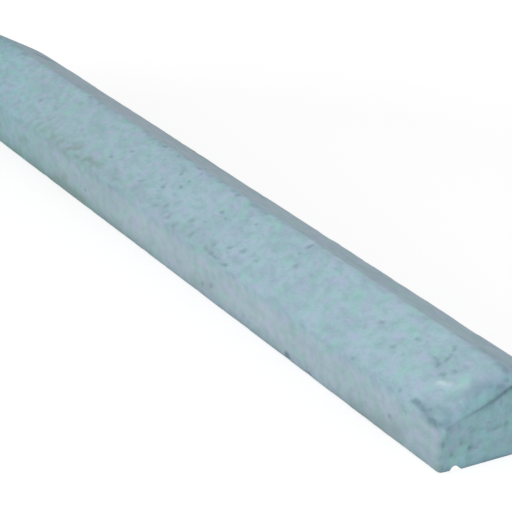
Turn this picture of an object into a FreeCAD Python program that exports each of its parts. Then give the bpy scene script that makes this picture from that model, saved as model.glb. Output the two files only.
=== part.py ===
"""Saddleback wall coping stone, cast in concrete as one piece.

The stone is a long bar. Its section has a flat bed, upright edges and two slopes that throw rain
to both sides of a rounded ridge. A drip throat runs under each edge, so that water falls clear of
the wall. At both ends the roof rolls over and finishes in a lip that stands proud of the end face.

Millimetres. X runs along the stone, Y across the wall and Z up, with the origin at the middle of
the bed.
"""

import FreeCAD, Part
import math
import os

# Overall sizes
length = 1200.0  # over the lips of both ends
width = 140.0  # over both upright edges
edge_height = 51.0  # bed to eave, where slope and edge would meet without the rounding
ridge_height = 91.0  # bed to ridge, where the slopes would meet without the rounding

# Roundings of the cast arrises
ridge_radius = 10.0
eave_radius = 6.0
bed_arris_radius = 3.0
end_arris_radius = 5.0

# Drip throats, with splayed sides that let the mould bar draw out
throat_inset = 17.0  # edge face to the middle of the throat
throat_mouth = 13.0
throat_crown = 5.0
throat_depth = 5.0
throat_mouth_radius = 1.5
throat_crown_radius = 2.0

# Ends, where the roof rolls over to a lip
end_roll_radius = 11.5
lip_nose = 2.0  # upright front of the lip
lip_projection = 3.0  # lip front to end face

half_length = length / 2
half_width = width / 2
slope_angle = math.atan2(ridge_height - edge_height, half_width)
roll_drop = (end_roll_radius + lip_nose) / math.cos(slope_angle)
reach = width + ridge_height  # more than any distance across the section


def rounded_outline(corners, place):
    """Closed wire through corners (u, v, radius): straight runs joined by tangent arcs.

    place turns a point (u, v) of the outline's own plane into a point in space.
    """
    arcs = []
    for i, (u, v, radius) in enumerate(corners):
        corner = FreeCAD.Vector(u, v, 0)
        before = FreeCAD.Vector(*corners[i - 1][:2], 0)
        after = FreeCAD.Vector(*corners[(i + 1) % len(corners)][:2], 0)
        to_before = (before - corner).normalize()
        to_after = (after - corner).normalize()
        half_turn = to_before.getAngle(to_after) / 2
        run = radius / math.tan(half_turn)
        inward = (to_before + to_after).normalize()
        crown = corner + inward * (radius / math.sin(half_turn) - radius)
        arcs.append((corner + to_before * run, crown, corner + to_after * run))

    edges = []
    for i, (start, crown, end) in enumerate(arcs):
        previous_end = arcs[i - 1][2]
        edges.append(Part.LineSegment(place(previous_end), place(start)).toShape())
        if corners[i][2] > 0:
            edges.append(Part.Arc(place(start), place(crown), place(end)).toShape())
    return Part.Wire(edges)


def across(x):
    """Places an outline (y, z) in the upright plane across the stone at x."""
    return lambda point: FreeCAD.Vector(x, point.x, point.y)


def stone_bar():
    """The full section, with both throats, run along the whole length."""
    throat_middle = throat_inset - half_width
    front = [
        (-half_width, edge_height, eave_radius),
        (-half_width, 0, bed_arris_radius),
        (throat_middle - throat_mouth / 2, 0, throat_mouth_radius),
        (throat_middle - throat_crown / 2, throat_depth, throat_crown_radius),
        (throat_middle + throat_crown / 2, throat_depth, throat_crown_radius),
        (throat_middle + throat_mouth / 2, 0, throat_mouth_radius),
    ]
    back = [(-y, z, radius) for y, z, radius in reversed(front)]
    ridge = [(0, ridge_height, ridge_radius)]
    outline = rounded_outline(front + back + ridge, across(-half_length))
    return Part.Face(outline).extrude(FreeCAD.Vector(length, 0, 0))


def plan_block():
    """Everything inside the stone's plan, a long rectangle with its upright end arrises rounded."""
    corners = [
        (-half_length, -half_width, end_arris_radius),
        (half_length, -half_width, end_arris_radius),
        (half_length, half_width, end_arris_radius),
        (-half_length, half_width, end_arris_radius),
    ]
    outline = rounded_outline(corners, lambda point: FreeCAD.Vector(point.x, point.y, 0))
    return Part.Face(outline).extrude(FreeCAD.Vector(0, 0, ridge_height))


def roof_block(side):
    """Everything under one slope (side -1 front, 1 back) that rolls over at both ends."""
    ridge = FreeCAD.Vector(0, 0, ridge_height)
    outward = FreeCAD.Vector(0, side * math.sin(slope_angle), math.cos(slope_angle))
    downhill = FreeCAD.Vector(0, side * math.cos(slope_angle), -math.sin(slope_angle))
    corners = [
        (-half_length, 0, end_roll_radius),
        (half_length, 0, end_roll_radius),
        (half_length, -reach, 0),
        (-half_length, -reach, 0),
    ]
    uphill_start = ridge - downhill * reach
    outline = rounded_outline(
        corners,
        lambda point: uphill_start + FreeCAD.Vector(point.x, 0, 0) + outward * point.y,
    )
    return Part.Face(outline).extrude(downhill * (2 * reach))


def end_recess(end):
    """What is taken out below the lip (end -1 or 1), so that the end face lies behind it."""
    fall = math.tan(slope_angle) * width
    roof_line = ridge_height - roll_drop
    corners = [
        (-width, -reach, 0),
        (width, -reach, 0),
        (width, roof_line - fall, 0),
        (0, roof_line, ridge_radius),
        (-width, roof_line - fall, 0),
    ]
    face = Part.Face(rounded_outline(corners, across(end * (half_length - lip_projection))))
    return face.extrude(FreeCAD.Vector(end * 2 * lip_projection, 0, 0))


def coping_stone():
    stone = stone_bar()
    for block in (plan_block(), roof_block(-1), roof_block(1)):
        stone = stone.common(block)
    for end in (-1, 1):
        stone = stone.cut(end_recess(end))
    return stone.removeSplitter().Solids[0]


def main():
    os.makedirs("parts", exist_ok=True)
    stone = coping_stone()
    stone.exportStep("parts/coping_stone.step")
    box = stone.optimalBoundingBox()
    print(f"coping_stone: {box.XLength:.1f} x {box.YLength:.1f} x {box.ZLength:.1f} mm")
    print(f"volume {stone.Volume / 1e6:.3f} litres, valid {stone.isValid()}, {len(stone.Faces)} faces")


main()
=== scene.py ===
# %% [markdown]
# # A saddleback wall coping, cast in concrete
# A coping lies along the top of a wall and throws the rain off it. This one is a single casting,
# weathered, with soft arrises and an open, sandy skin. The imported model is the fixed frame: it gives
# the size and the place, and this file gives the stone its skin. Shapes are worked out in
# millimetres with numpy and go into Blender in metres at the very end.

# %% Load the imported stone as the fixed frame
import math

import bpy
import numpy as np
from mathutils import Matrix, Vector


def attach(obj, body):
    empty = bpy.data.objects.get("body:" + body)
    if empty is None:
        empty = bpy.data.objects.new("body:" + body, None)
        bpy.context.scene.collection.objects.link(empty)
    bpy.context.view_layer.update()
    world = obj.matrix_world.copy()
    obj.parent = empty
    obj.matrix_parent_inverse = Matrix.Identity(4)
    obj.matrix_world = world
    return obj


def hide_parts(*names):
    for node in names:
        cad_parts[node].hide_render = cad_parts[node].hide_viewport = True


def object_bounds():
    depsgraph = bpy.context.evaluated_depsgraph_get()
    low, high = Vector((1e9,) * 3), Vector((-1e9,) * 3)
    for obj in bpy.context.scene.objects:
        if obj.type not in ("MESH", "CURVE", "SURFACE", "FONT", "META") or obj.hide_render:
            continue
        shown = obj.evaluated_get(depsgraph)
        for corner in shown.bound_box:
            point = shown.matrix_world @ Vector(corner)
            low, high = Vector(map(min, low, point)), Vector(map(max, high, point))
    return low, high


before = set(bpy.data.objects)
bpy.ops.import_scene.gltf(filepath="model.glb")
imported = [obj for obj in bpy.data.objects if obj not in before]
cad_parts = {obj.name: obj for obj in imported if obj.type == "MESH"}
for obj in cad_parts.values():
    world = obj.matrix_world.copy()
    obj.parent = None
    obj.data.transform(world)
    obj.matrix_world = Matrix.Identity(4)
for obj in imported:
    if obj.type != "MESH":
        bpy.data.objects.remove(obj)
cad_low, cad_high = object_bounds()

MM = 0.001
half_length = cad_high.x / MM
half_width = cad_high.y / MM
print(f"the stone measures {2 * half_length:.0f} x {2 * half_width:.0f} x {cad_high.z / MM:.1f} mm")

# %% [markdown]
# ## The section
# Cut across, a coping is a little house: a flat bed, upright edges, two slopes and a ridge, with a
# drip throat under each edge. One could draw it as a curve object and extrude it, but the skin needs
# a regular grid of points to carve, so the section is one closed path of straight runs and arcs. It
# starts in the middle of the bed, goes up the front, over the ridge and down the back.

# %% The section's corners
edge_height = 51.0
ridge_height = 91.0
ridge_radius = 10.0
eave_radius = 6.0
bed_arris_radius = 1.8
throat_inset = 17.0
throat_mouth = 13.0
throat_crown = 5.0
throat_depth = 5.0
mouth_radius = 1.5
crown_radius = 2.0

throat_middle = half_width - throat_inset
slope_angle = math.atan2(ridge_height - edge_height, half_width)
front_corners = np.array([  # y, z and radius, from the bed outwards and up
    (throat_mouth / 2 - throat_middle, 0, mouth_radius),
    (throat_crown / 2 - throat_middle, throat_depth, crown_radius),
    (-throat_crown / 2 - throat_middle, throat_depth, crown_radius),
    (-throat_mouth / 2 - throat_middle, 0, mouth_radius),
    (-half_width, 0, bed_arris_radius),
    (-half_width, edge_height, eave_radius),
])
ridge_corner = np.array([(0, ridge_height, ridge_radius)])
back_corners = front_corners[::-1] * (-1, 1, 1)
corners = np.vstack([front_corners, ridge_corner, back_corners])
print(f"{len(corners)} corners, slopes of {math.degrees(slope_angle):.1f} degrees")

# %% [markdown]
# ### Rounded corners
# No arris of a cast stone is sharp: the mould's corners are eased, so that the casting comes out whole.
# A bevel modifier rounds edges after the mesh is made. Here the path itself gets its arcs, so the
# stations can be set along them.


# %% Corners to arcs
def rounded_path(corners, arc_points=16):
    """Each corner becomes an arc that touches both runs: its centre lies on the corner's bisector, at
    the radius over the sine of half the angle, and a spoke swings from one foot to the other."""
    point, radius = corners[:, :2], corners[:, 2:]
    to_before = np.roll(point, 1, axis=0) - point
    to_after = np.roll(point, -1, axis=0) - point
    to_before /= np.linalg.norm(to_before, axis=1, keepdims=True)
    to_after /= np.linalg.norm(to_after, axis=1, keepdims=True)
    bisector = to_before + to_after
    bisector /= np.linalg.norm(bisector, axis=1, keepdims=True)
    half_angle = np.arccos((to_before * bisector).sum(1, keepdims=True))
    centre = point + bisector * radius / np.sin(half_angle)
    foot = radius / np.tan(half_angle)
    first_spoke = (point + to_before * foot - centre)[:, None]
    last_spoke = (point + to_after * foot - centre)[:, None]
    swing = np.linspace(0, 1, arc_points)[None, :, None]
    spoke = first_spoke * (1 - swing) + last_spoke * swing
    spoke *= radius[:, None] / np.linalg.norm(spoke, axis=2, keepdims=True)
    return (centre[:, None] + spoke).reshape(-1, 2)


bed_middle = [(0, 0)]
section_path = np.vstack([bed_middle, rounded_path(corners), bed_middle])
print(f"the section's path has {len(section_path)} points")

# %% [markdown]
# ## Stations round the section
# A mesh should be fine where the eye lands and coarse where it doesn't. A subdivision modifier would
# refine everything alike. Here each stretch of the path has its own spacing, and a station stands
# wherever the running count of cells passes a whole number.

# %% Stations, crowded where the skin is seen
skin_spacing = 2.3
throat_spacing = 1.8
bed_spacing = 9.0
throat_reach = 9.0

step = np.diff(section_path, axis=0)
walk = np.concatenate([[0], np.cumsum(np.hypot(step[:, 0], step[:, 1]))])
fine_walk = np.linspace(0, walk[-1], 8000)
fine_y = np.interp(fine_walk, walk, section_path[:, 0])
fine_z = np.interp(fine_walk, walk, section_path[:, 1])
underneath = fine_z < throat_depth + 0.5
in_throat = underneath & (np.abs(np.abs(fine_y) - throat_middle) < throat_reach)
mid_bed = underneath & (np.abs(fine_y) < throat_middle - throat_reach)
spacing = np.select([in_throat, mid_bed], [throat_spacing, bed_spacing], skin_spacing)
running_count = np.concatenate([[0], np.cumsum(np.diff(fine_walk) / spacing[1:])])
around_count = int(round(running_count[-1]))
whole_counts = np.arange(around_count) * running_count[-1] / around_count
stations = np.interp(whole_counts, running_count, fine_walk)
section_y = np.interp(stations, fine_walk, fine_y)
section_z = np.interp(stations, fine_walk, fine_z)
print(f"{around_count} stations round a path of {walk[-1]:.0f} mm")

# %% [markdown]
# ## Rings over the ends
# At both ends the roof rolls over in a quarter round to a small lip, and the end face lies behind
# it. A bevel can't make a lip, so an end is a list of rings. Each ring says how far out the roof and
# the edges are, how far the roof has dropped, how far the edges have drawn in and how deep the groove
# under the lip is. Four rings below the roll make the lip's nose and that groove.

# %% Rings over the roll and the lip
roll_radius = 11.5
lip_nose = 2.0
lip_projection = 3.0
groove_depth = 1.6
end_arris = 6.0
roll_rings = 9
nose_back = 0.5  # how far the lip's underside starts behind its front
below_nose = np.array([0, 0.7, 2.2, 4.2])  # mm below the nose, for the rings under the roll
past_arris = np.array([0.3, 0.6, 1.0, 1.6])  # mm past the end's arris, for the same rings
groove_share = np.array([0, 1, 1, 0.3])  # of the groove's depth, for the same rings

lip_count = len(below_nose)
face_x = half_length - lip_projection
body_half = half_length - roll_radius
turn = np.linspace(0, math.pi / 2, roll_rings)
no_turn = np.zeros(roll_rings)
roll_x = half_length - roll_radius * (1 - np.sin(turn))
arris_x = face_x - end_arris * (1 - np.sin(turn))
roof_x = np.concatenate([roll_x, [half_length - nose_back], [face_x] * (lip_count - 1)])
roof_fall = np.concatenate([roll_radius * (1 - np.cos(turn)), roll_radius + lip_nose + below_nose])
edge_x = np.concatenate([arris_x, [face_x] * lip_count])
edge_pull = np.concatenate([end_arris * (1 - np.cos(turn)), end_arris + past_arris])
groove = np.concatenate([no_turn, groove_depth * groove_share])
print(f"{len(roof_x)} rings down to the foot of a lip {lip_projection:.0f} mm proud of the end face")

# %% [markdown]
# ### Rings over the end face
# The end face butts against the next stone. One many-sided polygon would close it, but it could not be
# pitted. So the rings go on over it, first to a lens, which is a flattened section without throats, and
# from there to the middle.

# %% Rings over the end face
face_rings = 22
lens_rings = 8

all_face = np.ones(face_rings)
no_face = np.zeros(roll_rings + lip_count)
face_ring = np.arange(face_rings) + 1
to_lens = np.append(no_face, np.minimum(face_ring / lens_rings, 1))[:, None]
to_middle = np.append(no_face, np.maximum(face_ring - lens_rings, 0) / (face_rings - lens_rings))[:, None]
roof_x, edge_x = (np.append(rings, all_face * face_x)[:, None] for rings in (roof_x, edge_x))
roof_fall, edge_pull = (np.append(rings, all_face * rings[-1])[:, None] for rings in (roof_fall, edge_pull))
groove = np.append(groove, 0 * all_face)[:, None]
print(f"{len(roof_x)} rings over each end")

# %% [markdown]
# ## Soft steps and bells
# Nothing on an old stone starts or stops sharply, so two curves do most of the work from here on: a
# step that eases from 0 to 1, and a bell that fades on both sides. A colour ramp in a shader does the
# same for looks alone. As functions they can shape the mesh as well.


# %% Ease and bell
def ease(low, high, value):
    """0 below low, 1 above high, and 3t^2 - 2t^3 between them."""
    t = np.clip((value - low) / (high - low), 0, 1)
    return t * t * (3 - 2 * t)


def bell(value, middle, reach):
    """1 at the middle, falling on both sides as e to the minus square of the distance over the reach."""
    return np.exp(-(((value - middle) / reach) ** 2))


print(f"a quarter of the way up, an ease is {ease(0, 1, 0.25):.2f}")
print(f"at its reach, a bell is {bell(1, 0, 1):.2f}")

# %% [markdown]
# ## One end
# The lip was struck by hand: it hangs lowest just before the ridge and rises towards the corners. There
# the roll is worn flush with the end face, half round and half chamfer. Only the outermost strip draws
# in, so the throats run out straight, with their outer edge broken a little. All of it could be
# sculpted. As a formula, one function makes both ends.

# %% How an end hangs, wears and closes
sag_before_ridge = 1.23  # how far roll and lip hang, over the fall of a plain quarter round
sag_lost_outwards = 0.74
sag_curve = 2.2
sag_lost_past_ridge = 0.33
wear_starts = 0.15  # where the roll is worn, as shares of the way from the ridge to the edge
wear_full = 0.65
rim_starts = 0.8  # the outermost strip, as a share of the same way
roof_starts = 11.0  # mm below the eave where the edge goes over to the roof
roof_full = 3.0
fall_curve = 1.5
bed_lift = 0.05  # how far the bed draws up at an end, over how far the edges draw in
rim_lift = 0.3  # more in the outermost strip
throat_lift = 0.2  # more beside the throats
lens_height = 33.0
lens_width_share = 0.78
lens_height_share = 0.35
middle_share = 0.06
print(f"worn flush from {wear_full * half_width:.0f} mm beside the ridge outwards")


# %% The surface of one end
def end_surface(side):
    """The rings of one end (side 1 or -1) as points [ring, station, xyz]. A roof point drops by the
    roll's fall over the cosine of the slope, and an edge point by a share of it that is nothing at the
    throats. Where the roll is worn, it reaches out by the mean of a quarter round and a chamfer, as far
    as the face. Edges and bed draw in. The face's rings slide in straight lines to a lens, a flattened
    section without its throats, and the lens then shrinks to the middle."""
    outward = np.abs(section_y) / half_width
    roof_share = ease(edge_height - roof_starts, edge_height - roof_full, section_z)
    height_share = np.clip((section_z - throat_depth) / (edge_height - throat_depth), 0, 1) ** fall_curve
    worn = ease(wear_starts, wear_full, outward)
    rim = ease(rim_starts, 1, outward)
    past_ridge = ease(-2, 8, section_y) * (1 - outward)
    lip_sag = sag_before_ridge - sag_lost_outwards * outward ** sag_curve - sag_lost_past_ridge * past_ridge
    chamfer = np.minimum(roof_fall / roll_radius, 1)
    rounded = np.where(chamfer < 1, (roof_x - body_half) / roll_radius, 1)
    worn_x = body_half + (face_x - body_half) * (rounded + chamfer) / 2
    lip_x = roof_x + (worn_x - roof_x) * worn - groove * (1 - worn)
    x = edge_x + (lip_x - edge_x) * roof_share
    y = section_y - np.sign(section_y) * edge_pull * rim
    beside_throat = bell(outward * half_width, throat_middle + 8, 4)
    lift = edge_pull * (bed_lift + rim_lift * rim + throat_lift * beside_throat) * (1 - height_share)
    z = section_z - roof_fall / math.cos(slope_angle) * lip_sag * height_share + lift
    under_bed = (section_z < throat_depth + 0.5) & (outward * half_width < throat_middle + throat_reach)
    lens_z = lens_height + lens_height_share * (np.where(under_bed, 0, section_z) - lens_height)
    y = y + (lens_width_share * section_y - y) * to_lens
    z = z + (lens_z - z) * to_lens
    shrink = 1 - (1 - middle_share) * to_middle
    return np.stack([side * x, y * shrink, lens_height + (z - lens_height) * shrink], axis=2)


shown_end = end_surface(1)
print(f"an end reaches {shown_end[..., 0].max():.1f} mm from the middle")

# %% [markdown]
# ## The plain casting
# The mould is a long trough, so between its ends the casting is the section carried along X. Blender's
# extrude would do that in one step. An array of rings lets them stand closer at the end that is shown
# to the viewer.

# %% The base surface
ring_spacing = 2.3
ring_crowding = 0.12

t = np.linspace(-1, 1, int(2 * body_half / ring_spacing))[1:-1]
body_x = body_half * (t + ring_crowding * (1 - t * t))
body = np.stack(np.broadcast_arrays(body_x[:, None], section_y, section_z), axis=2)
base = np.concatenate([end_surface(-1)[::-1], body, shown_end])
x, y, z = np.moveaxis(base, 2, 0)
print(f"{len(base)} rings of {around_count} stations make {x.size} points")

# %% [markdown]
# ## Normals and faces
# Relief is carved inwards along the normals, never outwards, so the stone keeps its measured size.
# Blender finds normals once there is a mesh, and here they are needed before. They also tell which
# face a point is on. The end faces are flat, so theirs are set outright.


# %% Outward normals
def grid_normals(points):
    """Cross product of the step along the stone and the step round it, each across both neighbours."""
    along = np.gradient(points, axis=0)
    around = np.roll(points, -1, axis=1) - np.roll(points, 1, axis=1)
    normal = np.cross(along, around)
    return normal / np.maximum(np.linalg.norm(normal, axis=2, keepdims=True), 1e-9)


normals = grid_normals(base)
normals[:face_rings] = (-1, 0, 0)
normals[-face_rings:] = (1, 0, 0)
on_roof = ease(0.3, 0.7, normals[..., 2])
on_end = ease(0.5, 0.9, np.abs(normals[..., 0]))
on_bed = ease(0.3, 0.7, -normals[..., 2])
on_edge = np.clip(1 - on_roof - on_end - on_bed, 0, 1)
for name, share in dict(roof=on_roof, edges=on_edge, ends=on_end, bed=on_bed).items():
    print(f"{name} {share.mean():.0%} of the points")

# %% [markdown]
# ## Noise for the points
# Blender's noise textures live in shaders, and a displace modifier only takes a few of its own. The
# carving needs noise as plain numbers, so here is a small one: random values on a lattice, blended.

# %% Smooth noise on a lattice
lattice = (331, 53, 41)


def noise(points, size, seed):
    """Random values from -1 to 1 stand on a cubic lattice with cells of the given size in mm. A point
    takes the blend of the eight values round it, eased by 3t^2 - 2t^3 along each axis."""
    table = np.random.default_rng(seed).uniform(-1, 1, lattice)
    cell = points / size
    corner = np.floor(cell).astype(int)
    share = ease(0, 1, cell - corner)
    total = np.zeros(points.shape[:-1])
    for offset in np.ndindex(2, 2, 2):
        key = tuple(np.moveaxis((corner + offset) % lattice, -1, 0))
        total += table[key] * np.prod(np.abs(1 - np.array(offset) - share), axis=-1)
    return total


print(f"noise repeats after {lattice[0]} cells along the stone")

# %% [markdown]
# ## The skin left by mould and weather
# The mould bows a little, the float drags, and rain washes the paste from the sand, in patches and
# most of all on the roof. Long waves and short lumps go everywhere, torn hollows only where the skin
# has opened. How open it is stays with the points, because the material's pores follow it too.

# %% Waves, lumps and torn hollows
drag = (0.7, 1, 1)  # the float ran along the stone, so its marks are longer that way
mean_depth = 0.3  # the skin lies this deep, so that its waves stay inside the mould's faces
bed_relief = 0.2  # the bed was struck off flat

dragged = base * drag
waves = 0.3 * noise(base, 150, 1) + 0.15 * noise(base, 60, 2)
lumps = 0.20 * noise(dragged, 24, 3) + 0.14 * noise(dragged, 11, 4)
torn = 0.65 * noise(dragged, 10, 5) + 0.5 * noise(dragged, 5, 6)
patches = ease(-0.35, 0.6, noise(base, 75, 7))
opened = patches * on_roof + 0.25 * on_edge + 1.3 * on_end + 0.5 * on_bed
depth = mean_depth + waves + lumps * (0.5 + 0.5 * on_roof) + 0.7 * ease(0.3, 0.85, torn) * opened
depth *= 1 - (1 - bed_relief) * on_bed
print(f"casting relief from {depth.min():.1f} to {depth.max():.1f} mm deep")

# %% [markdown]
# ## Air holes
# Bubbles that were caught against the mould leave small holes. Boolean spheres would cut thousands
# of tiny faces, so each bubble presses a dent into the grid instead. Their places are bent by noise,
# which makes them ragged.


# %% Bubbles
def bubbles(points, cell, chance, radii, seed):
    """One bubble may sit at a random place in each cubic cell. A point inside it sinks by the radius
    less its distance from the bubble's middle."""
    rng = np.random.default_rng(seed)
    shape = (211, 37, 29)
    place = rng.uniform(0, 1, shape + (3,))
    radius = rng.uniform(*radii, shape) * (rng.uniform(0, 1, shape) < chance)
    home = np.floor(points / cell).astype(int)
    sink = np.zeros(points.shape[:-1])
    for offset in np.ndindex(3, 3, 3):
        at = home + np.array(offset) - 1
        key = tuple(np.moveaxis(at % shape, -1, 0))
        gap = np.linalg.norm(points - (at + place[key]) * cell, axis=-1)
        sink = np.maximum(sink, radius[key] - gap)
    return sink


raggedness = 1.8
ragged = base + raggedness * np.stack([noise(base, 6, seed) for seed in (8, 9, 10)], axis=2)
holes = bubbles(ragged * drag, cell=13, chance=0.16, radii=(1.4, 3.2), seed=11)
depth += 0.6 * holes * (0.3 + 0.7 * opened)
print(f"air holes to {holes.max():.1f} mm deep")

# %% [markdown]
# ## Worn arrises
# Ridge, eaves and bottom edges are where a stone gets knocked, so they are eaten away unevenly. A
# noisy bevel could do it, and here it is a bell across the arris times noise along it. The front eave
# is rubbed round all along as well.


# %% Wear along the arrises
def wear(distance, reach, size, seed):
    """A bell across the arris, as wide as reach, times how far noise along it rises above a level."""
    along = 0.65 * noise(base, size, seed) + 0.35 * noise(base, size / 3, seed + 1)
    return bell(distance, 0, reach) * ease(-0.2, 0.8, along)


from_ridge = np.hypot(y, z - ridge_height)
from_eave = np.hypot(np.abs(y) - half_width, z - edge_height)
from_bed_arris = np.hypot(np.abs(y) - half_width, z)
from_end_arris = np.hypot(np.abs(y) - half_width, np.abs(x) - face_x)
depth += (2.0 - 1.2 * ease(150, 350, x)) * wear(from_ridge, 8, 22, 21)
depth += 0.7 * wear(from_eave, 9, 34, 24) + 0.7 * bell(from_eave, 0, 8) * (y < 0)
depth += 0.5 * wear(from_bed_arris, 5, 18, 27)
depth += 1.8 * wear(from_end_arris, 9, 14, 30)
print(f"arrises worn to {depth.max():.1f} mm")

# %% [markdown]
# ## Single marks
# A few marks make this stone itself, and they are placed one by one. A sculpting brush would do the
# same by hand. Here a stroke has a start, an end and a breadth, in millimetres along and down the slope,
# or along and up on the front edge, or across and up on the shown end face.


# %% Strokes on the stone
def on_slope(along, down):
    """The point on a slope that lies so far along the stone and so far down from the ridge: on the front
    slope, or on the back one where down is negative."""
    fall = abs(down) * math.sin(slope_angle)
    return np.array([along, -down * math.cos(slope_angle), ridge_height - fall])


def on_front(along, height):
    """The point on the front edge at a place along the stone and a height."""
    return np.array([along, -half_width, height])


def on_face(across, height):
    """The point on the shown end face at a place across the stone and a height."""
    return np.array([face_x, across, height])


def stroke(start, end, half_breadth):
    """A bell round a straight stroke: 1 on it, falling with the distance from its nearest point. The
    ragged points are measured, which frays the stroke."""
    run = end - start
    share = np.clip((ragged - start) @ run / (run @ run + 1e-9), 0, 1)
    gap = np.linalg.norm(ragged - start - share[..., None] * run, axis=2)
    return bell(gap, 0, half_breadth)


def spots(places, radius):
    """The greatest of the bells round several places."""
    return np.maximum.reduce([stroke(place, place, radius) for place in places])


print(f"the slope is {half_width / math.cos(slope_angle):.0f} mm from ridge to eave")

# %% [markdown]
# ### Damage
# Near the shown end a forked crack has opened in pieces, and a groove is worn along the eave to the
# corner. The ridge has a chip, and so has the back slope by the far end. Two holes break the foot of
# the front. Each is a few strokes, and the deepest one counts where they overlap.

# %% Crack, groove, chips and holes
crack = np.maximum.reduce([
    stroke(on_slope(518, 30), on_slope(525, 31), 2.2),
    stroke(on_slope(526, 32), on_slope(530, 36), 2.6),
    stroke(on_slope(531, 20), on_slope(533, 26), 2.8),
    stroke(on_slope(526, 11), on_slope(528, 15), 2.6),
])
eave_groove = np.maximum.reduce([
    0.85 * stroke(on_slope(546, 77), on_slope(552, 77), 4.2),
    0.6 * stroke(on_slope(553, 78), on_slope(578, 80), 4.6),
    0.9 * stroke(on_front(577, 47), on_front(585, 46), 5.2),
    0.4 * stroke(on_front(588, 48), on_front(596, 48), 4.0),
])
ridge_chip = stroke(on_slope(255, 0), on_slope(255, 8), 3.0)
foot_holes = np.maximum(
    stroke(on_front(320, 5), on_front(323, 3), 2.9),
    0.7 * stroke(on_front(358, 2), on_front(368, 1), 2.2),
)
back_chip = stroke(on_slope(-527, -46), on_slope(-527, -60), 7.0)
depth += 1.2 * crack + 1.6 * eave_groove + 1.8 * ridge_chip + 0.4 * foot_holes + 1.2 * back_chip
print("a broken crack, a groove by the corner, two chips and two holes at the foot")

# %% [markdown]
# ### Dents, nicks and pits
# Pebbles and knocks have left dents all over the front slope, dark blots and a scar just above the
# eave, nicks in the front and pits in the shown end. Scattering them at random would not put them where
# they are, so each has its place, and noise breaks up their rims.

# %% Dents on the slope, nicks on the front, pits in the end
near_dents = [(552, 30), (545, 40), (484, 24), (470, 45), (452, 51), (428, 30), (416, 45), (268, 33)]
mid_dents = [(249, 27), (216, 53), (187, 53), (165, 58), (103, 30), (-12, 45), (5, 67), (-54, 53)]
far_dents = [(-105, 60), (-117, 30), (-138, 50), (-217, 47), (-286, 14), (-303, 57), (-355, 42)]
dent = np.maximum.reduce([
    stroke(on_slope(along - 2, down), on_slope(along + 2, down), 2.8)
    for along, down in near_dents + mid_dents + far_dents
]) * (0.4 + 0.6 * ease(-0.4, 0.4, noise(base, 4.5, 42)))
blots = [(22, 60), (42, 70), (62, 75), (78, 57), (98, 70), (140, 64)]
blot = spots([on_slope(*place) for place in blots], 4.2)
eave_scar = np.maximum(
    stroke(on_slope(134, 72), on_slope(150, 77), 3.2),
    stroke(on_slope(152, 75), on_slope(186, 78), 2.6),
) * ease(-0.6, 0.3, noise(base, 8, 41))
nicks = [(512, 21), (158, 18), (138, 12), (-158, 21)]
nick = spots([on_front(*place) for place in nicks], 2.8)
pits = [(-66, 27), (-56, 17), (-46, 27), (-9, 32), (2, 34)]
pit = 0.85 * spots([on_face(*place) for place in pits], 3.0) + 1.2 * spots([on_face(-37, 18)], 3.0)
depth += 1.0 * dent + 1.0 * blot + 1.1 * eave_scar + 1.1 * nick + 1.0 * pit
print(f"marks to {depth.max():.1f} mm deep")

# %% [markdown]
# ## The carved skin
# Every point moves in by its depth. How much deeper it lies than its surroundings is kept as well,
# because such hollows are painted darker as shade. The rings lie close together where the throats run
# out at an end and where the lip meets the end's arrises. They would cross each other if they were
# moved, so the carving fades out there.


# %% Carve
lip_end = (face_x, 64, 41)  # where the lip meets an end's arris, the same on all four corners
lip_end_reach = 5.0
lip_end_fade = 0.7
mouth_length = 14.0  # how far in from the face the rings crowd where a throat runs out
mouth_top = 14.0  # how far up they do, and below which height fully
mouth_full = 8.0
mouth_rim = 4.0  # the breadth of the fade beside a throat, and of the full stretch before the face


def smoothed(values, rounds):
    """The mean of each value and its four neighbours, taken again and again."""
    for _ in range(rounds):
        along = np.roll(values, 1, 0) + np.roll(values, -1, 0)
        around = np.roll(values, 1, 1) + np.roll(values, -1, 1)
        values = (values + along + around) / 5
    return values


depth = np.maximum(depth, 0)
from_throat = np.abs(np.abs(y) - throat_middle)
at_mouths = ease(face_x - mouth_length, face_x - mouth_rim, np.abs(x)) * ease(mouth_top, mouth_full, z)
at_mouths *= ease(throat_reach + mouth_rim, throat_reach, from_throat)
from_lip_end = np.linalg.norm(np.abs(base) - lip_end, axis=2)
crowded = np.maximum(at_mouths, lip_end_fade * bell(from_lip_end, 0, lip_end_reach))
skin = base - normals * (depth * (1 - crowded))[..., None]
skin[..., 2] = np.maximum(skin[..., 2], 0)
# How much deeper a point lies than its surroundings, kept to paint shade into the hollows.
hollow = np.clip((depth - smoothed(depth, 8)) / 1.3, 0, 1)
print(f"hollows cover {np.mean(hollow > 0.3):.1%} of the skin")

# %% [markdown]
# ## Stains
# Rain carries dirt down the slopes and splashes it up from below. It stays above the eaves, at the
# foot of the edges and on the corners, most of all towards the far end. It could be painted by hand.
# Here a stain is one number a point, worked out from where the point lies and broken up by noise, and
# the material reads it by name.

# %% Stains, one number a point
patchy = 0.5 + 0.25 * noise(base, 38, 31) + 0.25 * noise(base, 13, 32)
blotch = ease(0.35, 0.7, patchy)
to_far_end = ease(150, -200, x)
under_eave = ease(edge_height, edge_height - 16, z) * on_edge

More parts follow.
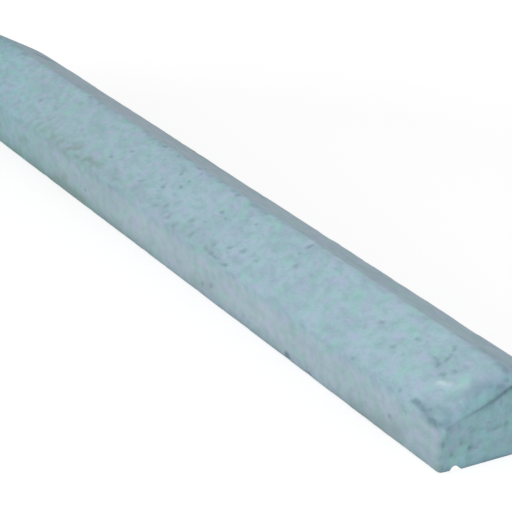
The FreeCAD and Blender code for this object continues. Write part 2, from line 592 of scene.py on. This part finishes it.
streaks = ease(-0.3, 0.5, 0.4 * noise(dragged, 18, 34) + 0.6 * noise(dragged, 5, 35))
front_runs = bell(x, -190, 150) + 0.25 * bell(x, 105, 80)
back_runs = ease(0, 0.7, noise(base, 120, 33))
runs = np.where(y < 0, front_runs, back_runs) * (0.25 + 0.75 * streaks)
above_eave = np.hypot(np.abs(y) - half_width + 8, z - edge_height - 4.5)
eave_dirt = bell(above_eave, 0, 12) * runs
foot_dirt = np.exp(-z / 10) * on_edge * (0.45 + 0.55 * to_far_end) * (0.4 + 0.6 * blotch)
corner_dirt = bell(from_end_arris, 0, 9) * blotch
end_dirt = on_end * ease(0.5, 0.8, patchy)
print(f"blotches cover {np.mean(blotch > 0.5):.0%} of the skin")

# %% [markdown]
# ### Smears
# A few smears on the front edge are this stone's own, and its marks are painted darker too, for the
# dirt they hold and the shade in them. All of it is added up, and cut off where the stain is full.

# %% Smears on the front, and the sum
smear = np.maximum.reduce([
    0.35 * stroke(on_front(450, 2), on_front(525, 10), 13),
    0.9 * stroke(on_front(-240, 5), on_front(-160, 1), 9),
    0.7 * stroke(on_front(-222, 16), on_front(-212, 19), 6),
    0.4 * stroke(on_front(-350, 25), on_front(-332, 30), 6),
    0.4 * stroke(on_front(120, 10), on_front(150, 14), 8),
])
stain_and_shade = eave_dirt + 1.4 * foot_dirt + 0.5 * corner_dirt + 0.1 * end_dirt + smear
# Painted shade in the groove, the holes and the crack, and dirt in the other marks, darken them here.
stain_and_shade = stain_and_shade + 0.4 * eave_groove + foot_holes + 0.6 * nick + 0.45 * blot + 0.5 * eave_scar
stain_and_shade = stain_and_shade + 0.5 * pit + 0.3 * dent + 0.25 * crack + 0.06 * to_far_end
stain_and_shade = np.clip(stain_and_shade, 0, 1)
print(f"stains cover {np.mean(stain_and_shade > 0.3):.1%} of the skin")

# %% [markdown]
# ## Painted shade and grime
# Painted shade is bluer and darker than the stains, and a little grime goes with it. It is painted
# under the lip near the ridge, on the rolled ends, which turn away from the light, and along the foot,
# where the stone meets the ground. A shader could look for edges, but not for a lip, and the rings know
# where the lip is.

# %% Painted shade under the lip, on the rolls and along the foot
above_lip = np.concatenate([no_turn + 1, [1, 0, 0, 0], 0 * all_face])
under_lip = np.concatenate([no_turn, [0.2, 1, 1, 0.5], 0 * all_face])
roof_rings = np.concatenate([above_lip[::-1], 0 * body_x + 1, above_lip])[:, None]
lip_rings = np.concatenate([under_lip[::-1], 0 * body_x, under_lip])[:, None]
roof_stations = ease(edge_height - 3, edge_height, section_z)
lip_shade = lip_rings * roof_stations * ease(22, 8, np.abs(section_y))

rolled = ease(body_half - 18, body_half + 6, np.abs(x)) * roof_rings * roof_stations
less_outwards = 1 - 0.6 * bell(np.abs(y), 45, 14)
# Painted shade on the rolled ends, which turn away from the light.
roll_shade = rolled * ease(-10, 30, np.abs(y)) * less_outwards * (0.5 + 0.5 * blotch)
# Painted shade along the foot, where the stone meets the ground and no light reaches.
foot_shade = np.exp(-z / 2) * (on_end + on_edge * (0.25 + 1.2 * bell(x, 200, 190)))
print(f"the lip shades {np.mean(lip_shade > 0.3):.1%} of the skin")

# %% [markdown]
# ### Smudges
# Smudges lie round the shown corner and the ridge's end, along the eave and on the front. Most of
# them are painted shade, and a few are dirt. They are strokes again. Hollows and marks are painted dark
# as shade as well, and the two holes at the foot are painted fully dark, because they are deeper than
# the mesh can show without breaking the bottom edge.

# %% Smudges, and the sum
# Strokes of painted shade round the shown corner, the ridge's end and the eave, and of dirt on the front.
shade_and_dirt_smudge = np.maximum.reduce([
    stroke(on_slope(574, 55), on_slope(590, 44), 5),
    stroke(on_slope(594, 38), on_slope(598, 10), 5),
    1.6 * stroke(on_slope(562, 74), on_slope(592, 68), 7),
    1.3 * stroke(on_front(588, 46), on_front(597, 43), 5),
    0.9 * stroke(on_front(596, 8), on_front(596, 28), 4),
    1.0 * stroke(on_face(-28, 53), on_face(-16, 58), 4),
    0.4 * stroke(on_face(-64, 43), on_face(-52, 46), 6),
    1.2 * stroke(on_face(-66, 1), on_face(-61, 3), 4),
    2.2 * stroke(on_slope(584, 0), on_slope(597, -1), 6),
    0.6 * stroke(on_slope(590, 6), on_face(-10, 75), 7),
    0.9 * stroke(on_slope(560, -30), on_slope(596, -30), 26),
    0.35 * stroke(on_slope(480, 77), on_slope(550, 77), 9),
    0.8 * stroke(on_slope(546, 77), on_front(586, 47), 6.5),
    0.9 * stroke(on_slope(-580, 2), on_slope(-505, 8), 12),
    0.35 * stroke(on_front(450, 2), on_front(525, 10), 13),
])
# Painted shade in hollows, holes and the groove, under the lip, on the rolls and at the foot; grime in the
# chip.
shade_and_grime = hollow + foot_holes + foot_shade + 0.7 * lip_shade + 0.45 * eave_groove + 1.6 * back_chip
end_specks = on_end * ease(0.05, 0.45, noise(base, 4.5, 44))
shade_and_grime = np.clip(shade_and_grime + 0.75 * roll_shade + 0.3 * shade_and_dirt_smudge + 0.2 * end_specks, 0, 1)
print(f"grime covers {np.mean(shade_and_grime > 0.3):.1%} of the skin")

# %% [markdown]
# ## Lime, damp, algae, dust and painted light
# Lime has bloomed at one spot by the shown end, and it lies thinly along the middle of the front. A
# pale highlight is painted along the ridge. The ends are painted a darker teal as shade, and a patch at
# the far end holds damp. Algae grow at the foot of the far half, the back slope is painted greyer as a
# tint of shade, and the edges are dusty. Each is one more number a point.

# %% Lime, and a painted highlight on the ridge
lime_and_highlight = np.maximum.reduce([
    0.9 * spots([on_slope(552, 49), on_slope(556, 47)], 3.4),
    0.5 * spots([on_slope(562, 44)], 3.6),
    0.15 * spots([on_slope(576, 38)], 6.0),
])
lime_film = bell(x, 60, 420) * ease(4, 20, z) * (0.7 + 0.6 * ease(0.3, 0.75, patchy))
# A painted highlight along the crest of the ridge's near half, where its rounding catches the light.
ridge_highlight = on_roof * bell(y, 1, 2.5) * ease(150, 280, x) * ease(560, 480, x)
lime_and_highlight = lime_and_highlight + 0.24 * under_eave * lime_film + 0.25 * ridge_highlight
print(f"bloom to {lime_and_highlight.max():.2f}")

# %% Damp and painted shade on the ends, algae, dust and a painted tint on the back slope
far_patch = ease(-240, -340, x + 3 * (y + half_width))
# The ends are painted darker and tealer as shade, and the patch at the far end is damp.
damp_and_end_shade = np.clip(on_end * (1 + 0.5 * noise(base, 6, 43)) + 0.7 * far_patch, 0, 1.2)
algae = np.exp(-z / 14) * on_edge * ease(-20, -150, x) * (0.5 + 0.5 * blotch)
# The back slope is painted greyer as a tint of shade, and the edges under the eaves hold dust.
back_shade_tint = on_roof * ease(2, 12, y) * (0.6 + 0.48 * bell(x, -160, 360))
dust_and_shade_tint = 0.9 * back_shade_tint + 0.55 * ease(-350, 100, x) * under_eave
print(f"damp on {np.mean(damp_and_end_shade > 0.3):.0%} of the skin, dust on {np.mean(dust_and_shade_tint > 0.3):.0%}")

# %% [markdown]
# ## The mesh
# The grid becomes quads between neighbouring rings and stations, and the numbers become attributes
# on its points. A subdivided and displaced box would need modifiers to be worked out first. This mesh
# is finished as it stands, and it is closed.


# %% Points to a mesh
def skin_mesh(name, points):
    """Quads between neighbouring rings and stations, with each ring closed on itself, and a fan of
    triangles from each last ring to a pole at its mean."""
    rings, count = points.shape[:2]
    index = np.arange(rings * count).reshape(rings, count)
    after = np.roll(index, -1, axis=1)
    quads = np.stack([index[:-1], index[1:], after[1:], after[:-1]], axis=2).reshape(-1, 4)
    pole = np.full(count, rings * count)
    first_fan = np.stack([pole, index[0], after[0]], axis=1)
    last_fan = np.stack([pole + 1, after[-1], index[-1]], axis=1)
    poles = np.stack([points[0].mean(0), points[-1].mean(0)])
    mesh = bpy.data.meshes.new(name)
    mesh.from_pydata(
        np.vstack([points.reshape(-1, 3), poles]) * MM,
        [],
        quads.tolist() + first_fan.tolist() + last_fan.tolist(),
    )
    mesh.shade_smooth()
    return mesh


def keep(mesh, name, values):
    """Keeps one number a point on the mesh; the two poles take the mean of their rings."""
    poles = [values[0].mean(), values[-1].mean()]
    attribute = mesh.attributes.new(name, "FLOAT", "POINT")
    attribute.data.foreach_set("value", np.append(values.ravel(), poles).astype(np.float32))


print(f"{len(skin)} rings to join, {around_count} points each")

# %% The stone's mesh
stone = bpy.data.objects.new("cast_coping_stone", skin_mesh("cast_coping_stone", skin))
bpy.context.scene.collection.objects.link(stone)
kept = dict(shade_and_grime=shade_and_grime, stain_and_shade=stain_and_shade, algae=algae, lime_and_highlight=lime_and_highlight, damp_and_end_shade=damp_and_end_shade, dust_and_shade_tint=dust_and_shade_tint, opened=opened)
for name, values in kept.items():
    keep(stone.data, name, values)
print(f"{stone.name}: {len(stone.data.polygons)} faces and {len(kept)} numbers a point")

# %% [markdown]
# ## Colours and nodes
# Colours are picked as they look on a screen, in sRGB, and Blender wants linear light, so one
# function turns them. Another adds a node with its settings and links.


# %% Colour and node helpers
def linear(code):
    """An sRGB hex colour in linear light: c / 12.92 when dark, else ((c + 0.055) / 1.055)^2.4."""
    channel = np.array([int(code[i:i + 2], 16) for i in (1, 3, 5)]) / 255
    light = np.where(channel <= 0.04045, channel / 12.92, ((channel + 0.055) / 1.055) ** 2.4)
    return (*light, 1.0)


def add(tree, kind, inputs=(), **settings):
    """Adds a node: settings are its own properties, and an input takes a value or another's output. An
    input is named, or numbered where a node has several of one name."""
    node = tree.nodes.new(kind)
    for name, value in settings.items():
        setattr(node, name, value)
    for name, value in dict(inputs).items():
        if isinstance(value, bpy.types.NodeSocket):
            tree.links.new(value, node.inputs[name])
        else:
            node.inputs[name].default_value = value
    return node


print(f"mid grey #808080 is {linear('#808080')[0]:.3f} in linear light")

# %% [markdown]
# ## Cast concrete, washed by rain
# Cement paste and sand, struck from a mould and weathered. To the eye that is matt and pale
# blue-grey, with greenish and lavender clouds where the paste dried unevenly, grains of sand, pin
# holes in the open patches, and painted shade with some grime in the hollows. A photo texture would
# fix it to one view. Noise in the stone's own coordinates goes round every side.

# %% Patterns in the paste
concrete = bpy.data.materials.new("cast_concrete")
concrete.use_nodes = True
tree = concrete.node_tree
shader = tree.nodes["Principled BSDF"]
coordinates = add(tree, "ShaderNodeTexCoord").outputs["Object"]
here = add(tree, "ShaderNodeMapping", {"Vector": coordinates, "Scale": drag}).outputs[0]

noises = {}
for name, size_mm, detail in (
    ("broad", 45.0, 2),
    ("clouds", 12.0, 2),
    ("tone", 9.0, 4),
    ("sand", 1.6, 2),  # sand is finer than this; drawn coarser so that it shows
    ("grain", 2.2, 3),
    ("ragged", 5.0, 2),
):
    grid = {"Vector": here, "Scale": 1 / (size_mm * MM), "Detail": detail}
    noises[name] = add(tree, "ShaderNodeTexNoise", grid).outputs
patterns = {name: outputs["Fac"] for name, outputs in noises.items()}
print(f"{len(patterns)} noises in {concrete.name}")

# %% [markdown]
# ### Pin holes
# The smallest air holes are finer than the mesh. Each cell of a Voronoi pattern has one point, and a
# hole is what lies close to it. The cell's random grey leaves some of them out, and the kept number
# that says how open the skin is leaves out most of the rest. A hole is painted dark, as its shade.

# %% Pin holes
pin_cell_mm = 13.0
pin_radius_mm = 2.2  # finer in the real skin; drawn coarser so that they show
pin_depth_mm = 0.3
bend_mm = 3.0

bend = {0: noises["ragged"]["Color"], 1: [bend_mm * MM] * 3, 2: here}
bent = add(tree, "ShaderNodeVectorMath", bend, operation="MULTIPLY_ADD").outputs[0]
pin = add(tree, "ShaderNodeTexVoronoi", {"Vector": bent, "Scale": 1 / (pin_cell_mm * MM)}).outputs
pin_rim = pin_radius_mm / pin_cell_mm
fade = {"Value": pin["Distance"], "From Min": 1.5 * pin_rim, "From Max": 0.3 * pin_rim}
inside = add(tree, "ShaderNodeMapRange", fade).outputs[0]
choice = {"Value": pin["Color"], "From Min": 0.45, "From Max": 0.8}
chosen = add(tree, "ShaderNodeMapRange", choice).outputs[0]
open_here = add(tree, "ShaderNodeAttribute", attribute_name="opened").outputs["Fac"]
pins = add(tree, "ShaderNodeMath", {0: inside, 1: chosen}, operation="MULTIPLY").outputs[0]
patterns["pins"] = add(tree, "ShaderNodeMath", {0: pins, 1: open_here}, operation="MULTIPLY").outputs[0]
print(f"pin holes {2 * pin_radius_mm:.0f} mm across")

# %% [markdown]
# ### Layers of colour
# Paint goes on in layers, and so does this: each row lays a colour over what is there. Dust and damp,
# with painted shade tints on the back slope and the ends, come first, then the paste's own patterns, and
# last what weather has left, with painted shade and a painted highlight. Chained by hand, a dozen mix
# nodes are hard to change. As rows they can be read and moved.

# %% The layers, from the ground up
colour = linear("#A2BECA")
ground_layers = [  # number on the mesh, its greatest share and its colour
    # dust, and a painted shade tint on the back slope
    ("dust_and_shade_tint", 0.9, "#B1BCC8"),
    # damp, and painted shade on the ends
    ("damp_and_end_shade", 0.75, "#95C5CE"),
]
pattern_layers = [  # pattern, where it starts and is full, its share and its colour
    ("broad", 0.45, 0.75, 0.40, "#88A3AE"),
    ("clouds", 0.52, 0.76, 0.68, "#8FC6BA"),
    ("clouds", 0.48, 0.24, 0.68, "#B0B4D4"),
    ("tone", 0.42, 0.70, 0.50, "#86A2AC"),
    ("sand", 0.45, 0.75, 0.30, "#86A3AC"),
    # the pin holes, painted dark as their shade
    ("pins", 0.0, 1.0, 0.6, "#6A8499"),
]
weather_layers = [  # as for the ground
    # stains, and painted shade in some marks
    ("stain_and_shade", 0.75, "#7C928E"),
    ("algae", 0.35, "#6E9C94"),
    # painted shade, with some grime
    ("shade_and_grime", 0.6, "#587488"),
    # lime, and a painted highlight on the ridge
    ("lime_and_highlight", 0.6, "#D5E6E8"),
]
print(f"{len(ground_layers + pattern_layers + weather_layers)} layers of colour")


# %% The concrete's colour
def lay(colour, share, tint):
    """Mixes a tint over a colour by a share."""
    over = {0: share, 6: colour, 7: linear(tint)}
    return add(tree, "ShaderNodeMix", over, data_type="RGBA").outputs[2]


def lay_by_number(colour, name, most, tint):
    """Lays a tint where a number kept on the mesh says, at most by the given share."""
    number = add(tree, "ShaderNodeAttribute", attribute_name=name).outputs["Fac"]
    share = add(tree, "ShaderNodeMath", {0: number, 1: most}, operation="MULTIPLY").outputs[0]
    return lay(colour, share, tint)


for layer in ground_layers:
    colour = lay_by_number(colour, *layer)
for name, start, full, most, tint in pattern_layers:
    rise = {"Value": patterns[name], "From Min": start, "From Max": full, "To Max": most}
    colour = lay(colour, add(tree, "ShaderNodeMapRange", rise).outputs[0], tint)
for layer in weather_layers:
    colour = lay_by_number(colour, *layer)
tree.links.new(colour, shader.inputs["Base Color"])
print(f"{concrete.name}: {len(tree.nodes)} nodes so far")

# %% [markdown]
# ### Grain
# Washed sand stands proud of the paste by a fraction of a millimetre, too fine for the mesh, so a
# bump node tilts the shading. Old concrete hardly shines: the roughness is high and the IOR a stone's.

# %% The concrete's grain
grain_height_mm = 0.2

raised = {0: patterns["grain"], 1: grain_height_mm}
relief = add(tree, "ShaderNodeMath", raised, operation="MULTIPLY").outputs[0]
sunk = {0: patterns["pins"], 1: -pin_depth_mm, 2: relief}
relief = add(tree, "ShaderNodeMath", sunk, operation="MULTIPLY_ADD").outputs[0]
bump = add(tree, "ShaderNodeBump", {"Height": relief, "Strength": 1.0, "Distance": MM})
tree.links.new(bump.outputs["Normal"], shader.inputs["Normal"])
shader.inputs["Roughness"].default_value = 0.92
shader.inputs["IOR"].default_value = 1.5
stone.data.materials.append(concrete)
print(f"{concrete.name}: {len(tree.nodes)} nodes")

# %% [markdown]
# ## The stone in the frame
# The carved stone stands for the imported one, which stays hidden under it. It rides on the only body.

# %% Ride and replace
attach(stone, "root")
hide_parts("coping_stone")
print(f"{stone.name} stands for coping_stone")

# %% [markdown]
# ## A white floor
# The stone lies on white paper that runs past the picture, and keeps a soft shadow there. The sheet has
# a window under the stone and is clear from below, so the bed can be looked at as well. A plain plane
# would hide it.

# %% The floor's sheet
floor_half = 14.0
window_inset = 0.004

outer = np.array([(-1, -1, 0), (1, -1, 0), (1, 1, 0), (-1, 1, 0)], float)
window = outer * (cad_high.x - window_inset, cad_high.y - window_inset, 0)
floor_mesh = bpy.data.meshes.new("studio_floor")
sides = [(i, (i + 1) % 4, (i + 1) % 4 + 4, i + 4) for i in range(4)]
floor_mesh.from_pydata(np.vstack([outer * floor_half, window]), [], sides)
floor = bpy.data.objects.new("studio_floor", floor_mesh)
bpy.context.scene.collection.objects.link(floor)
print(f"floor {2 * floor_half:.0f} m square with a window under the stone")

# %% [markdown]
# ### White paper
# More light would turn the paper white, and bleach the stone as well. So the paper glows a little, but
# only to rays that show it: from the camera, off shiny things and through clear ones. It glows more far
# away, where less light falls on it. To all other rays it is matt and light grey.


# %% The floor's paper
def seen_rays(tree):
    """1 for a ray that comes from the camera, off a shiny surface or through a clear one, and else 0."""
    rays = add(tree, "ShaderNodeLightPath").outputs
    seen = rays["Is Camera Ray"]
    for kind in ("Is Glossy Ray", "Is Transmission Ray"):
        seen = add(tree, "ShaderNodeMath", {0: seen, 1: rays[kind]}, operation="MAXIMUM").outputs[0]
    return seen


glow_near, glow_far = 0.68, 1.0
near_m, far_m = 0.5, 2.5

paper = bpy.data.materials.new("white_paper")
paper.use_nodes = True
tree = paper.node_tree
tree.nodes.remove(tree.nodes["Principled BSDF"])
from_below = add(tree, "ShaderNodeNewGeometry").outputs["Backfacing"]
matt_white = add(tree, "ShaderNodeBsdfDiffuse", {"Color": linear("#A8A8A8")}).outputs[0]
matt_grey = add(tree, "ShaderNodeBsdfDiffuse", {"Color": linear("#BBBBBB")}).outputs[0]
place = add(tree, "ShaderNodeTexCoord").outputs["Object"]
apart = add(tree, "ShaderNodeVectorMath", {0: place}, operation="LENGTH").outputs["Value"]
rise = {"Value": apart, "From Min": near_m, "From Max": far_m, "To Min": glow_near, "To Max": glow_far}
strength = add(tree, "ShaderNodeMapRange", rise).outputs[0]
glow = add(tree, "ShaderNodeEmission", {"Strength": strength}).outputs[0]
clear = add(tree, "ShaderNodeBsdfTransparent").outputs[0]
bright = add(tree, "ShaderNodeAddShader", {0: matt_white, 1: glow}).outputs[0]
sheet = add(tree, "ShaderNodeMixShader", {0: seen_rays(tree), 1: matt_grey, 2: bright}).outputs[0]
one_sided = add(tree, "ShaderNodeMixShader", {0: from_below, 1: sheet, 2: clear}).outputs[0]
tree.links.new(one_sided, tree.nodes["Material Output"].inputs["Surface"])
floor_mesh.materials.append(paper)
print(f"{paper.name}: {len(tree.nodes)} nodes")

# %% [markdown]
# ## Soft light
# The stone is shown in even light from everywhere, as under a cloudy sky. A photo of a sky could light
# it, but would add colours of its own. A plain white world gives the same softness, and where it is seen
# it is as white as the paper.

# %% World
world_level = 0.6

world = bpy.data.worlds.new("studio")
world.use_nodes = True
bpy.context.scene.world = world
tree = world.node_tree
sky = tree.nodes["Background"]
sky.inputs["Color"].default_value = (1, 1, 1, 1)
sky.inputs["Strength"].default_value = world_level
white = add(tree, "ShaderNodeBackground", {"Color": (1, 1, 1, 1), "Strength": 1}).outputs[0]
both = add(tree, "ShaderNodeMixShader", {0: seen_rays(tree), 1: sky.outputs[0], 2: white}).outputs[0]
tree.links.new(both, tree.nodes["World Output"].inputs["Surface"])
print(f"a white world at {world_level}")

# %% [markdown]
# ### Panels
# A little more light comes from the front, and some from the shown end and from above, so that the
# faces differ. Small lamps would cast hard shadows. Broad panels keep them soft.


# %% Panels
def panel(name, place, size, level):
    """A square panel that faces the stone. Its power, level times pi squared times the distance squared,
    gives the level times a white world's light on a face turned to it."""
    data = bpy.data.lights.new(name, "AREA")
    data.size = size
    data.energy = level * math.pi ** 2 * Vector(place).length_squared
    lamp = bpy.data.objects.new(name, data)
    lamp.location = place
    lamp.rotation_euler = (-Vector(place)).to_track_quat("-Z", "Y").to_euler()
    lamp.visible_camera = False
    bpy.context.scene.collection.objects.link(lamp)


panel("front_panel", place=(1.0, -3.2, 0.6), size=2.2, level=0.40)
panel("end_panel", place=(3.4, -0.3, 0.4), size=1.8, level=0.14)
panel("top_panel", place=(1.2, -1.4, 2.6), size=2.2, level=0.21)
print("three panels")

# %% [markdown]
# ## Camera
# The stone is seen along its length from a little above, through a long lens, with the far end
# running out of the picture. A camera could be aimed with a track-to constraint. Here its three axes
# are worked out from two angles, and it then steps back, across and up. Azimuth is measured from the
# front towards the shown end.

# %% Camera
azimuth = math.radians(60.767)
elevation = math.radians(22.931)
distance = 2.4388
across_shift = 0.06476
up_shift = -0.01807
focal_px = 2132.7
frame_px = 512
sensor_mm = 36

level_back = Vector((math.sin(azimuth), -math.cos(azimuth), 0))
back = level_back * math.cos(elevation) + Vector((0, 0, math.sin(elevation)))
right = Vector((math.cos(azimuth), math.sin(azimuth), 0))
up = back.cross(right)
lens = bpy.data.cameras.new("camera")
lens.sensor_width = sensor_mm
lens.lens = sensor_mm * focal_px / frame_px
camera = bpy.data.objects.new("camera", lens)
facing = Matrix((right, up, back)).transposed().to_4x4()
camera.matrix_world = Matrix.Translation(right * across_shift + up * up_shift + back * distance) @ facing
bpy.context.scene.collection.objects.link(camera)
bpy.context.scene.camera = camera
bpy.context.scene.view_settings.view_transform = "Standard"
print(f"a {lens.lens:.0f} mm lens, {distance:.2f} m away")
